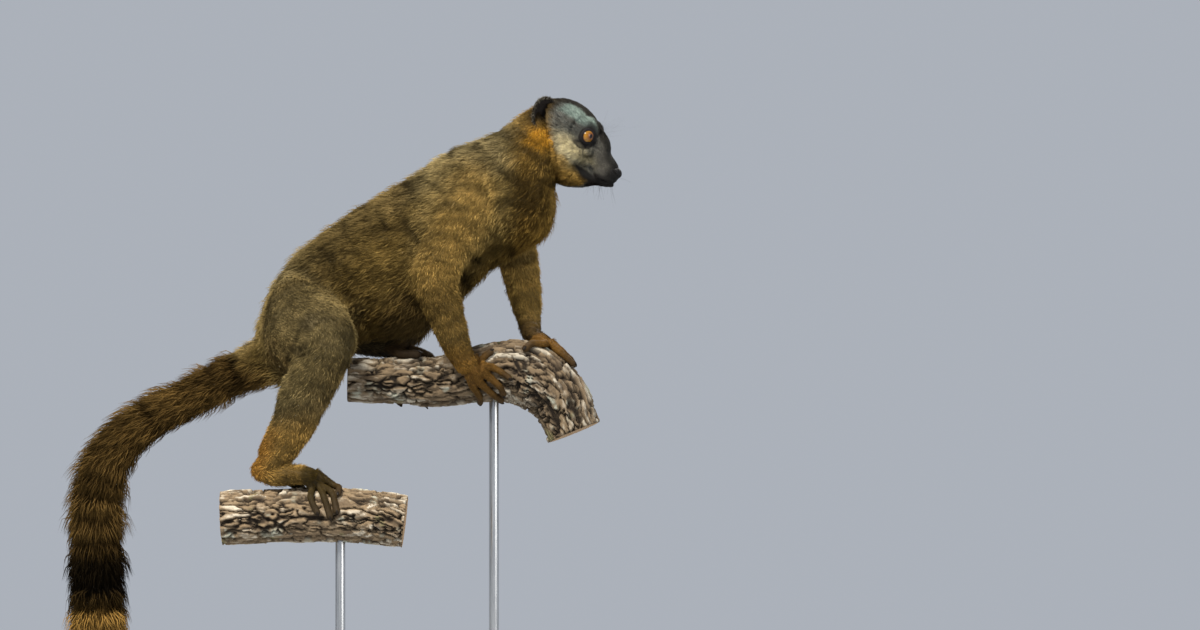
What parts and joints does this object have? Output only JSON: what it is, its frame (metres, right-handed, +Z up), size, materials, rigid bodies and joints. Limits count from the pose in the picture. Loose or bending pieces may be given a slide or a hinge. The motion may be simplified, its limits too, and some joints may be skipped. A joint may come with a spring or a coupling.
{
  "type": "brown lemur model on a display stand",
  "caption": "Life-size still model of a brown lemur climbing over two cut branches, its tail hanging, on a flat base with two rods.",
  "frame": {"origin": "centre of the underside of the stand's base", "axes": "+X the way the lemur faces, +Y to its left, +Z up"},
  "size_m": [0.5582, 0.2683, 0.7417],
  "materials": {
    "body_fur": "grizzled olive-brown woolly fur",
    "limb_fur": "golden-brown woolly fur",
    "tail_fur": "dark brown bushy fur",
    "face_fur": "short fur, dark muzzle, pale brows, orange cheeks",
    "digit_skin": "short-haired skin with dark bare pads and nails",
    "eye": "wet gloss, amber iris, black pupil",
    "nose_skin": "moist black skin",
    "bark": "rough fissured bark with pale lichen",
    "cut_wood": "sawn end grain",
    "stand_wood": "dark stained, satin",
    "stand_steel": "satin steel"
  },
  "bodies": {
    "root": {"head": "face_fur", "ear_left": "face_fur", "ear_right": "face_fur", "eye_left": "eye", "eye_right": "eye", "neck": "body_fur", "trunk": "body_fur", "tail_root": "tail_fur", "tail_middle": "tail_fur", "tail_end": "tail_fur", "upper_arm_left": "limb_fur", "upper_arm_right": "limb_fur", "forearm_left": "limb_fur", "forearm_right": "limb_fur", "hand_left": "digit_skin", "hand_right": "digit_skin", "thigh_left": "body_fur", "thigh_right": "body_fur", "shank_left": "limb_fur", "shank_right": "limb_fur", "foot_left": "digit_skin", "foot_right": "digit_skin", "perch_upper": "bark", "perch_lower": "bark", "stand_base": "stand_wood", "stand_rod_upper": "stand_steel", "stand_rod_lower": "stand_steel"}
  },
  "joints": []
}
